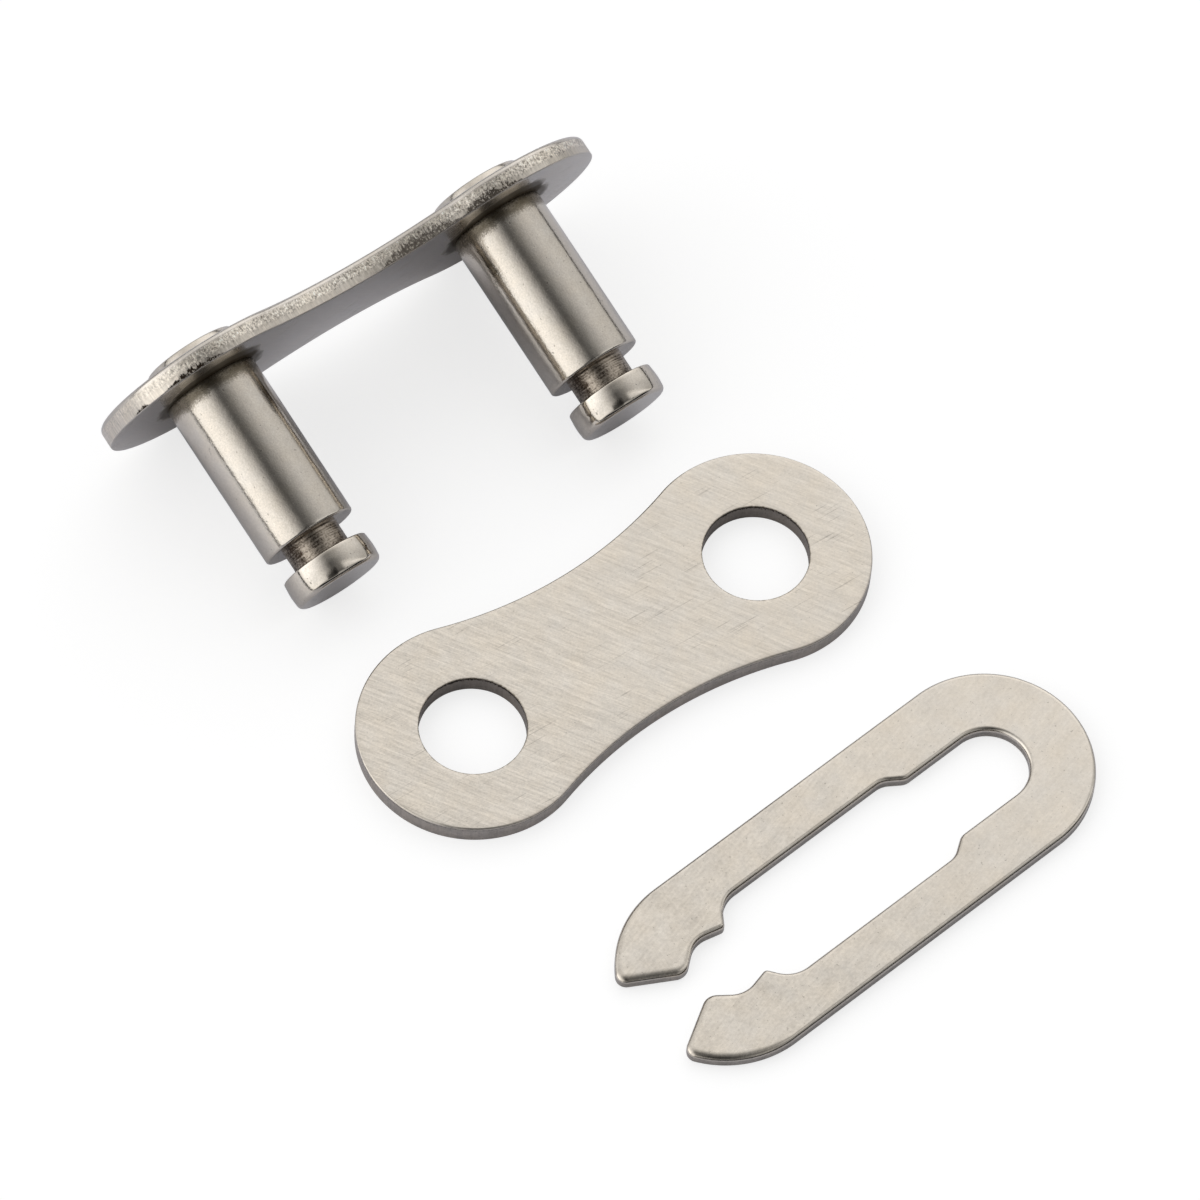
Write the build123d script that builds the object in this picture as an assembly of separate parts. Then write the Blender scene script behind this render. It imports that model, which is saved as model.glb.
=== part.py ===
"""Spring-clip connecting link for a half-inch cycle chain, as its three loose pieces lie ready for use.

The pin link is a punched plate with two turned pins riveted into it. The cover plate drops over the
pins' ends, and the spring clip snaps into the grooves that are left outside it. All sizes are in
millimetres and angles in degrees. +Z is up, and everything lies on the plane Z = 0. The origin is the
middle of the cover plate's underside, +X runs along that plate, and +Y points to the pin link.
"""
import os
from math import asin, atan2, cos, degrees, hypot, radians, sin, sqrt
from build123d import *

# Chain
pitch = 12.7  # from pin to pin: half an inch
plate_gap = 5.86  # between the two plates, once the cover plate is on

# Plates, punched from strip
lobe_height = 8.5  # across each round lobe
pin_plate_thickness = 0.82
pin_plate_waist = 5.35  # across the hollow waist
pin_plate_roll = 0.18  # bevel on the outer face, which the punch entered by
cover_plate_thickness = 0.8
cover_plate_waist = 6.5
cover_plate_roll = 0.07  # bevel on its upper face
broken_edge = 0.04  # bevel on the face that the punch left by

# Pins, turned and then riveted over
pin_diameter = 3.67
pin_shoulder = 0.185  # step down to the tenon inside the pin plate
rivet_overhang = 0.45  # rivet head, beyond the tenon all round
rivet_height = 0.6
rivet_taper = 0.34  # its flat end is this much smaller all round
rivet_rounding = 0.1
shank_bevel = 0.1
groove_depth = 0.705
head_relief = 0.05  # the head is this much under the shank all round
head_length = 1.1
head_rounding = 0.2  # rim of the free end
head_bevel = 0.06  # its rim beside the groove

# Clearances between the pieces, once the link is closed
cover_clearance = 0.13  # between pin and cover plate's hole, all round
groove_clearance = 0.35  # beside the clip in the groove
neck_clearance = 0.345  # round the neck in the slot's closed end
passage_clearance = 0.19  # beside a head in the wide middle of the slot
seat_play = 0.2  # from one neck's centre to the middle of its seat
tooth_bite = 0.04  # each tooth stands this far inside the neck's side

# Spring clip, whose slot narrows to a tooth, a neck seat and a lip near its mouth
clip_thickness = 0.6
clip_width = 7.76
clip_bevel = 0.12  # all its edges are broken
step_start = 2.67  # the slot widens here, from the centre of its closed end
step_length = 0.73
tooth_to_passage = 0.62
seat_to_tooth = 1.2
seat_depth = 0.29  # beyond the tooth
seat_to_lip = 1.09
lip_gap = 1.07
lip_to_tip = 1.63  # to the centre of the rounded tip
tip_spread = 3.87  # between the centres of the two tips
step_start_radius = 0.55
step_end_radius = 0.85
passage_radius = 1.2
tooth_radius = 0.2
seat_radius = 1.05
lip_radius = 0.55
tip_radius = 0.4
shoulder_radius = 4.0

# Where the loose pieces lie
pin_link_x = -0.76
pin_link_gap = 2.8  # from the cover plate to the middle of the pins' free ends
pin_link_turn = -0.4
clip_x = 8.1  # centre of the clip's closed end
clip_gap = 3.66  # from the cover plate to the closed end
clip_turn = 4.7

# Sizes that follow
lobe_radius = lobe_height / 2
pin_radius = pin_diameter / 2
tenon_radius = pin_radius - pin_shoulder
neck_radius = pin_radius - groove_depth
head_radius = pin_radius - head_relief
groove_start = pin_plate_thickness + plate_gap + cover_plate_thickness
groove_end = groove_start + clip_thickness + groove_clearance
pin_length = groove_end + head_length  # from the pin plate's outer face


def plate_outline(waist):
    """A figure eight: round lobes one pitch apart, joined smoothly by the waist's hollow curves."""
    half_waist = waist / 2
    lobe = Vector(pitch / 2, 0)
    hollow_radius = (lobe.X**2 + half_waist**2 - lobe_radius**2) / (2 * (lobe_radius - half_waist))
    hollow = Vector(0, half_waist + hollow_radius)
    touch = lobe + (hollow - lobe).normalized() * lobe_radius
    end = lobe.X + lobe_radius
    return make_face(
        [
            ThreePointArc((touch.X, -touch.Y), (end, 0), (touch.X, touch.Y)),
            ThreePointArc((touch.X, touch.Y), (0, half_waist), (-touch.X, touch.Y)),
            ThreePointArc((-touch.X, touch.Y), (-end, 0), (-touch.X, -touch.Y)),
            ThreePointArc((-touch.X, -touch.Y), (0, -half_waist), (touch.X, -touch.Y)),
        ]
    )


def at_both_pins(shape):
    """A shape once on each pin's axis."""
    return [Pos(side * pitch / 2, 0) * shape for side in (-1, 1)]


def rounded_line(corners):
    """A line through points that each come with a radius. The ones in between are rounded by theirs."""
    points = [point for point, _ in corners]
    return FilletPolyline(*points, radius=[radius for _, radius in corners[1:-1]])


def bevel_rims(piece, upper, lower):
    """Bevel every edge of a flat piece's upper and lower face."""
    piece = chamfer(piece.faces().sort_by(Axis.Z)[-1].edges(), upper)
    return chamfer(piece.faces().sort_by(Axis.Z)[0].edges(), lower)


def pin_plate():
    """The plate that carries the pins, with its outer face on Z = 0 and sharp holes full of tenon."""
    blank = extrude(plate_outline(pin_plate_waist), pin_plate_thickness)
    blank = bevel_rims(blank, broken_edge, pin_plate_roll)
    return blank - at_both_pins(extrude(Circle(tenon_radius), pin_plate_thickness))


def cover_plate():
    """The loose plate, whose holes slide over the pins."""
    outline = plate_outline(cover_plate_waist) - at_both_pins(Circle(pin_radius + cover_clearance))
    return bevel_rims(extrude(outline, cover_plate_thickness), cover_plate_roll, broken_edge)


def pin():
    """One pin on the Z axis: rivet head below Z = 0, tenon, shank, grooved neck and round head."""
    rivet_radius = tenon_radius + rivet_overhang
    bottom, top = (0, -rivet_height), (0, pin_length)
    corners = [
        (bottom, 0),
        ((rivet_radius - rivet_taper, -rivet_height), rivet_rounding),
        ((rivet_radius, 0), 0),
        ((tenon_radius, 0), 0),
        ((tenon_radius, pin_plate_thickness), 0),
        ((pin_radius, pin_plate_thickness), 0),
        ((pin_radius, groove_start - shank_bevel), 0),
        ((pin_radius - shank_bevel, groove_start), 0),
        ((neck_radius, groove_start), 0),
        ((neck_radius, groove_end), 0),
        ((head_radius - head_bevel, groove_end), 0),
        ((head_radius, groove_end + head_bevel), 0),
        ((head_radius, pin_length), head_rounding),
        (top, 0),
    ]
    return revolve(Plane.XZ * make_face(rounded_line(corners) + Line(top, bottom)), Axis.Z)


def spring_clip():
    """The clip lying flat, its closed end centred on the Z axis and its mouth towards -X.

    One half is drawn from the closed end along the outside, round the tip and back along the slot. The
    shoulder's arc leaves the straight side smoothly and runs as smoothly into the rounded tip.
    """
    outer_radius = clip_width / 2
    slot_radius = neck_radius + neck_clearance
    passage = head_radius + passage_clearance
    tooth = neck_radius - tooth_bite
    seat_place = pitch + seat_play
    tooth_place = seat_place - seat_to_tooth
    lip = Vector(-(seat_place + seat_to_lip), lip_gap / 2)
    tip = Vector(lip.X - lip_to_tip, tip_spread / 2)

    shoulder_rise = tip.Y - (outer_radius - shoulder_radius)
    shoulder_run = sqrt((shoulder_radius - tip_radius) ** 2 - shoulder_rise**2)
    shoulder_turn = degrees(atan2(shoulder_run, shoulder_rise))
    to_lip = lip - tip
    tip_turn = 180 - shoulder_turn + degrees(atan2(to_lip.Y, to_lip.X) + asin(tip_radius / to_lip.length))
    side = Line((0, outer_radius), (tip.X + shoulder_run, outer_radius))
    shoulder = JernArc(side @ 1, side % 1, shoulder_radius, shoulder_turn)
    tip_arc = JernArc(shoulder @ 1, shoulder % 1, tip_radius, tip_turn)

    corners = [
        ((lip.X, lip.Y), lip_radius),
        ((-seat_place, tooth + seat_depth), seat_radius),
        ((-tooth_place, tooth), tooth_radius),
        ((-(tooth_place - tooth_to_passage), passage), passage_radius),
        ((-(step_start + step_length), passage), step_end_radius),
        ((-step_start, slot_radius), step_start_radius),
    ]
    slot = rounded_line([(tip_arc @ 1, 0), *corners, ((0, slot_radius), 0)])
    closed_end = [
        CenterArc((0, 0), slot_radius, 0, 90),
        Line((slot_radius, 0), (outer_radius, 0)),
        CenterArc((0, 0), outer_radius, 0, 90),
    ]
    half = extrude(make_face([side, shoulder, tip_arc, slot, *closed_end]), clip_thickness)
    return bevel_rims(half + mirror(half, Plane.XZ), clip_bevel, clip_bevel)


def pin_link_rest():
    """The plane that carries the pin link: its origin is the middle of the plate's outer face.

    Seen from the side, the floor runs from the corner where the lobes' inner bevel starts to the
    rounded rim of the pins' free ends, which it touches from below.
    """
    lobe_corner = pin_plate_thickness - broken_edge
    along = pin_length - head_rounding - lobe_corner
    drop = lobe_radius - (head_radius - head_rounding)
    lean = atan2(drop, along) - asin(head_rounding / hypot(along, drop))
    height = lobe_corner * sin(lean) + lobe_radius * cos(lean)
    place = (pin_link_x, lobe_radius + pin_link_gap + pin_length * cos(lean), height)
    turn = radians(pin_link_turn)
    to_free_ends = (cos(lean) * sin(turn), -cos(lean) * cos(turn), -sin(lean))
    print(f"pin link: leans {degrees(lean):.3f} degrees, middle of its outer face {height:.4f} mm up")
    return Plane(origin=place, x_dir=(cos(turn), sin(turn), 0), z_dir=to_free_ends)


on_floor = pin_link_rest().location
left_pin, right_pin = at_both_pins(pin())
clip_place = Pos(clip_x, -(lobe_radius + clip_gap + clip_width / 2)) * Rot(Z=clip_turn)
nodes = {
    "pin_plate": on_floor * pin_plate(),
    "left_pin": on_floor * left_pin,
    "right_pin": on_floor * right_pin,
    "cover_plate": cover_plate(),
    "spring_clip": clip_place * spring_clip(),
}

os.makedirs("parts", exist_ok=True)
for name, solid in nodes.items():
    export_step(solid, f"parts/{name}.step")
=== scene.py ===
"""A half-inch chain's connecting link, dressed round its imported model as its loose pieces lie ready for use.

The pin link leans at the back, the cover plate lies in the middle and the spring clip in front. Lengths are
millimetres and angles are degrees. Each mesh is finished in its piece's own frame, and then put into the
model's frame in metres.
"""
import logging
from dataclasses import dataclass, field
from enum import Enum
from functools import cached_property
from math import asin, atan2, ceil, cos, degrees, hypot, pi, radians, sin, sqrt
from typing import Any, Callable, Optional, Sequence, Union

import bmesh
import bpy
import numpy as np
from mathutils import Matrix, Vector
from mathutils.geometry import delaunay_2d_cdt


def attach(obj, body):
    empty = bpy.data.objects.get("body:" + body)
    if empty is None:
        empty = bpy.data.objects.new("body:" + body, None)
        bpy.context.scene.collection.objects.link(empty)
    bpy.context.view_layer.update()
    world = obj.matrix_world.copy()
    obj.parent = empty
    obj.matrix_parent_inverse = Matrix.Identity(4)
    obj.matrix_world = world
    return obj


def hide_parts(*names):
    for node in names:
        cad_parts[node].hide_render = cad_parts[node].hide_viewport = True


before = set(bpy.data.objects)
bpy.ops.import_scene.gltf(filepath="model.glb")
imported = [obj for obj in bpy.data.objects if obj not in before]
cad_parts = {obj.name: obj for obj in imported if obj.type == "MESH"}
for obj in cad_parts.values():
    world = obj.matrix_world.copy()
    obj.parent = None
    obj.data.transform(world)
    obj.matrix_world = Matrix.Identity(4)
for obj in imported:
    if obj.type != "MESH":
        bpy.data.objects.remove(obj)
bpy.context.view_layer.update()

LOG = logging.getLogger("connecting_link")
METRES = 0.001  # one millimetre
BODY = "root"
OWN_PLACE = "own_place"  # attribute: a point's place in its piece's own frame, in millimetres
STREAKS = "streaks"  # attribute: share of the shearing streaks
TEARS = "tears"  # attribute: share of the torn break
MARKS = "marks"  # attribute: share of the turning marks
WALL = "wall"  # attribute: which kind of surface a face belongs to
NEARLY = 1e-6  # millimetres between two places that are meant to be the same
WELD = 1e-4  # turned points that lie closer than this, in millimetres, become one
DRAWN = (1.0, 1.0, 0.12)  # shearing streaks are drawn out along Z
RING_CHANGE = 0.3  # how much the turning marks change on the way round

NUMBER, WHOLE, FINISH = "NodeSocketFloat", "NodeSocketInt", "NodeSocketMaterial"  # kinds of tree input

Point = tuple[float, float]
Triple = tuple[float, float, float]
Colour = Triple
Settings = Optional[dict[str, Any]]  # a node's own settings, by name
Sockets = Optional[dict[Union[str, int], Any]]  # values or links for its sockets, by name or number


class Slot(Enum):
    """Names of material slots for the plate's, the pins' and the clip's steel."""

    PLATE = "plate_steel"
    PIN = "pin_steel"
    CLIP = "clip_steel"


class Surface(Enum):
    """The kinds of surface on a stamping."""

    FACE = 0
    RIM = 1
    HOLE = 2


# --- Node trees ---


def operator(operation: str, swapped: bool = False) -> Callable[["Value", "Term"], "Value"]:
    """A method that adds a Math node for a value and another term.

    Args:
        operation: What the node does.
        swapped: Whether the other term comes first.

    Returns:
        The method.
    """

    def combine(value: "Value", other: "Term") -> "Value":
        """Add the node."""
        terms = (other, value) if swapped else (value, other)
        return value.graph.math(operation, *terms)

    return combine


@dataclass(frozen=True)
class Value:
    """What a socket gives, as a term of a sum: each operation adds its Math node."""

    graph: "Graph"
    socket: bpy.types.NodeSocket

    __add__ = __radd__ = operator("ADD")
    __sub__ = operator("SUBTRACT")
    __rsub__ = operator("SUBTRACT", swapped=True)
    __mul__ = __rmul__ = operator("MULTIPLY")
    __truediv__ = operator("DIVIDE")
    __rtruediv__ = operator("DIVIDE", swapped=True)
    __mod__ = operator("FLOORED_MODULO")
    most = operator("MAXIMUM")

    def floor(self) -> "Value":
        """The whole number below this."""
        return self.graph.math("FLOOR", self)

    def band(self, low: float, high: float) -> "Value":
        """A smooth step from 0 to 1.

        Args:
            low: Where it starts to rise from 0.
            high: Where it has risen to 1.

        Returns:
            The step.
        """
        settings = {"interpolation_type": "SMOOTHSTEP"}
        sockets = {"Value": self, "From Min": low, "From Max": high}
        return self.graph.out("ShaderNodeMapRange", settings, sockets)


Term = Union[Value, float]


class Graph:
    """A node tree while it is built."""

    def __init__(self, tree: bpy.types.NodeTree) -> None:
        """Take over a tree and empty it."""
        self.tree = tree
        tree.nodes.clear()

    def node(self, kind: str, settings: Settings = None, sockets: Sockets = None) -> bpy.types.Node:
        """Add a node.

        Args:
            kind: The node's type.
            settings: Its own settings, which are made first.
            sockets: Values or links for its sockets, by name or by number.

        Returns:
            The new node.
        """
        node = self.tree.nodes.new(kind)
        for name, value in (settings or {}).items():
            setattr(node, name, value)
        for key, value in (sockets or {}).items():
            named = (s for s in node.inputs if s.name == key and s.enabled)
            socket = node.inputs[key] if isinstance(key, int) else next(named)
            if isinstance(value, Value):
                self.tree.links.new(value.socket, socket)
            else:
                socket.default_value = value
        return node

    def read(self, node: bpy.types.Node, name: str = "") -> Value:
        """A node's output of that name, or its first one that is in use."""
        outputs = (s for s in node.outputs if s.enabled and name in ("", s.name))
        return Value(self, next(outputs))

    def out(self, kind: str, settings: Settings = None, sockets: Sockets = None) -> Value:
        """Add a node and read its first output that is in use."""
        return self.read(self.node(kind, settings, sockets))

    def math(self, operation: str, *terms: Term) -> Value:
        """The Math node's result for these terms."""
        return self.out("ShaderNodeMath", {"operation": operation}, dict(enumerate(terms)))

    def vector_math(self, operation: str, *terms: Any) -> Value:
        """The Vector Math node's result for these terms."""
        return self.out("ShaderNodeVectorMath", {"operation": operation}, dict(enumerate(terms)))

    def scaled(self, vector: Any, factor: Term) -> Value:
        """A vector or colour times a number."""
        return self.out("ShaderNodeVectorMath", {"operation": "SCALE"}, {0: vector, "Scale": factor})

    def axes(self, vector: Value) -> tuple[Value, Value, Value]:
        """A vector's three parts."""
        node = self.node("ShaderNodeSeparateXYZ", None, {0: vector})
        return self.read(node, "X"), self.read(node, "Y"), self.read(node, "Z")

    def joined(self, x: Term, y: Term, z: Term) -> Value:
        """A vector from three parts."""
        return self.out("ShaderNodeCombineXYZ", None, {0: x, 1: y, 2: z})

    def noise(self, vector: Value, detail: float = 2.0, rough: float = 0.5, bend: float = 0.0) -> Value:
        """Even noise from 0 to 1 whose lumps are about one unit of the vector across.

        Args:
            vector: Where each point stands in the noise.
            detail: How many finer layers it has.
            rough: How strong the finer layers are.
            bend: How far the lumps are pulled out of shape.

        Returns:
            The noise.
        """
        sockets = {"Vector": vector, "Scale": 1.0, "Detail": detail, "Roughness": rough, "Distortion": bend}
        return self.out("ShaderNodeTexNoise", None, sockets)


class MaterialGraph(Graph):
    """The node tree of one finish."""

    def __init__(self, name: str) -> None:
        """Start a new material.

        Args:
            name: Its name.
        """
        self.material = bpy.data.materials.new(name)
        self.material.use_nodes = True
        super().__init__(self.material.node_tree)

    @cached_property
    def place(self) -> Value:
        """A point's place in its piece's own frame, in millimetres."""
        node = self.node("ShaderNodeAttribute", {"attribute_name": OWN_PLACE})
        return self.read(node, "Vector")

    def lumps(
        self,
        size: Union[float, Triple],
        detail: float = 2.0,
        rough: float = 0.5,
        *,
        bend: float = 0.0,
        turn: float = 0.0,
        shift: Triple = (0.0, 0.0, 0.0),
    ) -> Value:
        """Noise from 0 to 1 in lumps.

        Args:
            size: A lump's length, width and depth in millimetres, or one number for all three.
            detail: How many finer layers it has.
            rough: How strong the finer layers are.
            bend: How far the lumps are pulled out of shape.
            turn: The angle of a lump's length from the X axis, round the Z axis.
            shift: Where the noise starts, so that two layers of lumps differ.

        Returns:
            The noise.
        """
        lengths = size if isinstance(size, tuple) else (size, size, size)
        angles = (0.0, 0.0, radians(turn))
        sockets = {"Vector": self.place, "Location": shift, "Rotation": angles, "Scale": lengths}
        counted = self.out("ShaderNodeMapping", {"vector_type": "TEXTURE"}, sockets)
        return self.noise(counted, detail, rough, bend)

    def mixed(self, first: Any, second: Any, share: Term) -> Value:
        """The first colour going over to the second one by a share."""
        sockets = {"Factor": share, "A": first, "B": second}
        return self.out("ShaderNodeMix", {"data_type": "RGBA"}, sockets)

    def raised(self, height: Value, depth: float) -> Value:
        """Normals of a surface whose height goes from 0 to 1 over a depth in millimetres."""
        sockets = {"Height": height, "Distance": depth * METRES, "Strength": 1.0}
        return self.out("ShaderNodeBump", None, sockets)

    def sheet(self, colour: Value, roughness: float, gloss: float, glow: float) -> Value:
        """A Principled shader for a plain sheet that may glow as well.

        Args:
            colour: The sheet's colour.
            roughness: How rough it is.
            gloss: How strongly it mirrors, with 0.5 as usual.
            glow: How strongly it glows in white.

        Returns:
            The shader.
        """
        sockets = {
            "Base Color": colour,
            "Roughness": roughness,
            "Specular IOR Level": gloss,
            "Emission Color": (1.0, 1.0, 1.0, 1.0),
            "Emission Strength": glow,
        }
        return self.out("ShaderNodeBsdfPrincipled", None, sockets)

    def metal(self, colour: Value, roughness: Value, normal: Value) -> bpy.types.Material:
        """End the tree in a bare metal's shader.

        Args:
            colour: The metal's colour.
            roughness: How rough it is.
            normal: Its surface's normals.

        Returns:
            The material.
        """
        sockets = {"Base Color": colour, "Metallic": 1.0, "Roughness": roughness, "Normal": normal}
        shader = self.out("ShaderNodeBsdfPrincipled", None, sockets)
        self.node("ShaderNodeOutputMaterial", None, {"Surface": shader})
        return self.material


class ShapeGraph(Graph):
    """A Geometry Nodes tree with named inputs that takes a mesh and gives a mesh."""

    def __init__(self, name: str, inputs: dict[str, str]) -> None:
        """Start a tree.

        Args:
            name: Its name.
            inputs: The type of each input socket, by its name.
        """
        tree = bpy.data.node_groups.new(name, "GeometryNodeTree")
        super().__init__(tree)
        tree.interface.new_socket("Mesh", in_out="INPUT", socket_type="NodeSocketGeometry")
        for title, kind in inputs.items():
            tree.interface.new_socket(title, in_out="INPUT", socket_type=kind)
        tree.interface.new_socket("Mesh", in_out="OUTPUT", socket_type="NodeSocketGeometry")
        self.start = self.node("NodeGroupInput")

    def given(self, name: str) -> Value:
        """One of the tree's named inputs."""
        return self.read(self.start, name)

    def attribute(self, name: str) -> Value:
        """A number that the mesh carries for each point."""
        node = self.node("GeometryNodeInputNamedAttribute", {"data_type": "FLOAT"}, {"Name": name})
        return self.read(node, "Attribute")

    def even(self, vector: Value, grain: Term, seed: Term, rough: float = 0.5) -> Value:
        """Noise from -1 to 1 with lumps of a size in millimetres, different for each seed."""
        place = self.vector_math("ADD", self.scaled(vector, 1.0 / grain), self.joined(seed, 0.0, seed))
        return (self.noise(place, 2.0, rough) - 0.5) * 2.0

    def end(self, mesh: Value, finish: Value, extra: Sequence[tuple[Surface, Value]] = ()) -> None:
        """End the tree with real, smooth geometry in its finishes.

        Args:
            mesh: The geometry.
            finish: The finish of all its faces.
            extra: Other finishes for the faces of one kind of surface.
        """
        smooth = self.out("GeometryNodeSetShadeSmooth", None, {"Geometry": mesh})
        real = self.out("GeometryNodeRealizeInstances", None, {"Geometry": smooth})
        painted = self.node("GeometryNodeSetMaterial", None, {"Geometry": real, "Material": finish})
        dressed = self.read(painted)
        for surface, other in extra:
            number = self.node("GeometryNodeInputNamedAttribute", {"data_type": "INT"}, {"Name": WALL})
            settings = {"data_type": "INT", "operation": "EQUAL"}
            sockets = {"A": self.read(number, "Attribute"), "B": surface.value}
            chosen = self.out("FunctionNodeCompare", settings, sockets)
            sockets = {"Geometry": dressed, "Selection": chosen, "Material": other}
            dressed = self.out("GeometryNodeSetMaterial", None, sockets)
        self.node("NodeGroupOutput", None, {0: dressed})

    def apply(self, piece: bpy.types.Object, inputs: dict[str, Any]) -> None:
        """Put a piece's mesh through the tree and leave the result as its plain mesh.

        Args:
            piece: The object.
            inputs: Values for the tree's inputs, by name.
        """
        modifier = piece.modifiers.new(self.tree.name, "NODES")
        modifier.node_group = self.tree
        names = {s.name: s.identifier for s in self.tree.interface.items_tree if s.in_out == "INPUT"}
        for name, value in inputs.items():
            modifier[names[name]] = value
        now = bpy.context.evaluated_depsgraph_get()
        mesh = bpy.data.meshes.new_from_object(
            piece.evaluated_get(now), preserve_all_data_layers=True, depsgraph=now
        )
        piece.modifiers.remove(modifier)
        for index in reversed(range(len(mesh.materials))):
            if mesh.materials[index] is None:
                mesh.materials.pop(index=index)
        rough = piece.data
        piece.data = mesh
        bpy.data.meshes.remove(rough)


def sheared_tree() -> ShapeGraph:
    """The tree that gives a stamping's walls the streaks and tears of the shear.

    Returns:
        The tree.
    """
    inputs = dict.fromkeys(("Streak Depth", "Streak Width", "Tear Depth", "Tear Width"), NUMBER)
    inputs["Seed"] = WHOLE
    inputs.update(dict.fromkeys(("Face Finish", "Rim Finish", "Hole Finish"), FINISH))
    graph = ShapeGraph("sheared_walls", inputs)
    place = graph.out("GeometryNodeInputPosition")
    normal = graph.out("GeometryNodeInputNormal")
    drawn = graph.vector_math("MULTIPLY", place, DRAWN)
    streaks = graph.even(drawn, graph.given("Streak Width"), graph.given("Seed"))
    tears = graph.even(place, graph.given("Tear Width"), graph.given("Seed"), 0.7)
    lift = streaks * graph.attribute(STREAKS) * graph.given("Streak Depth")
    lift = lift + tears * graph.attribute(TEARS) * graph.given("Tear Depth")
    sockets = {"Geometry": graph.given("Mesh"), "Offset": graph.scaled(normal, lift)}
    moved = graph.out("GeometryNodeSetPosition", None, sockets)
    rims = [(Surface.RIM, graph.given("Rim Finish")), (Surface.HOLE, graph.given("Hole Finish"))]
    graph.end(moved, graph.given("Face Finish"), rims)
    return graph


def turned_tree() -> ShapeGraph:
    """The tree that turns a section, a line of points in the XZ plane, round the Z axis.

    Returns:
        The tree.
    """
    inputs = dict.fromkeys(("Mark Depth", "Mark Pitch", "Wave Depth", "Wave Length"), NUMBER)
    inputs.update({"Steps": WHOLE, "Seed": WHOLE, "Finish": FINISH})
    graph = ShapeGraph("turned_piece", inputs)
    section = graph.given("Mesh")
    sizes = graph.node("GeometryNodeAttributeDomainSize", None, {"Geometry": section})
    rows = graph.read(sizes, "Point Count")
    steps = graph.given("Steps")
    sockets = {"Vertices X": steps + 1.0, "Vertices Y": rows}
    grid = graph.read(graph.node("GeometryNodeMeshGrid", None, sockets), "Mesh")
    index = graph.out("GeometryNodeInputIndex")
    row = index % rows
    angle = (index / rows).floor() / steps * (2.0 * pi)

    def at_row(kind: str, value: Value) -> Value:
        """A value of the section's point in this row."""
        given = {"Geometry": section, "Value": value, "Index": row}
        return graph.out("GeometryNodeSampleIndex", {"data_type": kind}, given)

    point = at_row("FLOAT_VECTOR", graph.out("GeometryNodeInputPosition"))
    radius, _, height = graph.axes(point)
    marks = at_row("FLOAT", graph.attribute(MARKS))
    round_x = graph.math("COSINE", angle)
    round_y = graph.math("SINE", angle)
    place = graph.joined(radius * round_x, radius * round_y, height)
    seed = graph.given("Seed")
    wave = graph.even(place, graph.given("Wave Length"), seed) * graph.given("Wave Depth")
    level = height / graph.given("Mark Pitch")
    around = graph.joined(round_x * RING_CHANGE, round_y * RING_CHANGE, level)
    cut = graph.even(around, 1.0, seed, 0.6) * graph.given("Mark Depth") * marks
    real_radius = (radius + (wave + cut) * radius.band(0.0, 1.0)).most(0.0)
    real_place = graph.joined(real_radius * round_x, real_radius * round_y, height)
    sockets = {"Geometry": grid, "Position": real_place}
    turned = graph.out("GeometryNodeSetPosition", None, sockets)
    sockets = {"Geometry": turned, "Distance": WELD}
    closed = graph.out("GeometryNodeMergeByDistance", None, sockets)
    settings = {"data_type": "FLOAT_VECTOR", "domain": "POINT"}
    value = graph.out("GeometryNodeInputPosition")
    sockets = {"Geometry": closed, "Name": OWN_PLACE, "Value": value}
    stored = graph.out("GeometryNodeStoreNamedAttribute", settings, sockets)
    graph.end(stored, graph.given("Finish"))
    return graph


# --- Finishes ---

SALTS_AND_PAINTED_SHADE = (0.085, 0.063, 0.036, 1.0)  # brown plating salts on the faces round the pins, with painted shade and reflection where each pin meets the plate
ROOT_SALTS_AND_PAINTED_SHADE = (0.13, 0.108, 0.072, 1.0)  # the same salts, thinner, on the pins, with painted shade and reflection at each root
RIM_SALTS = (0.12, 0.09, 0.06, 1.0)  # specks in a torn rim
TORN_STEEL_AND_SHADE = (0.03, 0.021, 0.014, 1.0)  # the bottom of a tear: bare steel, with the crevice's shade painted in
FLECK = (0.03, 0.02, 0.013, 1.0)  # a pit in a sheared wall
# A pin's groove: dark brown between the turning marks, and steel along them.
GROOVE_DARK = (0.05, 0.036, 0.026, 1.0)
GROOVE_STEEL = (0.46, 0.4, 0.33, 1.0)


@dataclass(frozen=True)
class Nickel:
    """Plain nickel plating, which each finish lays its own marks on."""

    name: str
    tint: Colour = (0.655, 0.6, 0.525)
    roughness: float = 0.3
    warmth: float = 0.06  # how much warmer and cooler the clouds in it are
    brightness: float = 1.0

    def coloured(self, graph: MaterialGraph, shade: Value) -> Value:
        """The plating's colour times a shade, with faint warm and cool clouds.

        Args:
            graph: The tree.
            shade: The shade.

        Returns:
            The colour.
        """
        warmth = (graph.lumps(1.1, 3.0, 0.6, shift=(5.0, 2.0, 9.0)) - 0.5) * self.warmth
        red, green, blue = self.tint
        tint = graph.joined(warmth * red + red, green, blue - warmth * blue * 1.6)
        return graph.scaled(tint, shade)

    def material(self) -> bpy.types.Material:
        """Build the material."""
        raise NotImplementedError


@dataclass(frozen=True)
class StainAndShade:
    """A round patch on a face, its middle and its radius: brown salts, and round the pin plate's pins painted
    shade and reflection as well.
    """

    x: float
    y: float
    radius: float


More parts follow.
